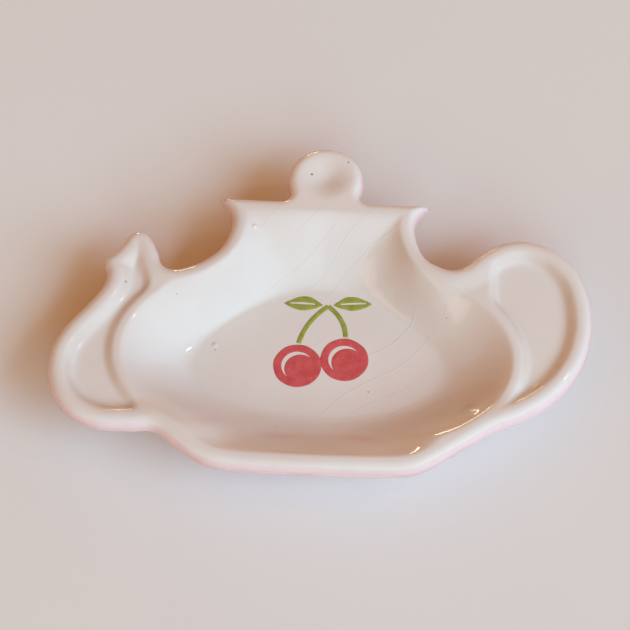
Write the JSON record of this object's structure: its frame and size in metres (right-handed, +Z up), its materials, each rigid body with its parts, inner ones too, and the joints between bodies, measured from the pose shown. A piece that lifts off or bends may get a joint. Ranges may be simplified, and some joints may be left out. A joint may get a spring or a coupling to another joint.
{
  "type": "tea bag rest",
  "caption": "Shallow teapot-shaped glazed earthenware dish with a deep well for used tea bags, recessed spout, handle and knob, and a printed motif on the floor.",
  "frame": {"origin": "middle of the footprint at table level", "axes": "+X from the spout to the handle, +Y from the straight front edge to the knob, +Z up"},
  "size_m": [0.128, 0.0894, 0.017],
  "materials": {
    "white_glaze": "gloss, finely crazed",
    "pink_glaze": "gloss",
    "red_print": "gloss",
    "green_print": "gloss"
  },
  "bodies": {
    "root": {"dish": "white_glaze", "coat": "pink_glaze", "cherry_left": "red_print", "cherry_right": "red_print", "stems": "green_print", "leaf_left": "green_print", "leaf_right": "green_print"}
  },
  "joints": []
}
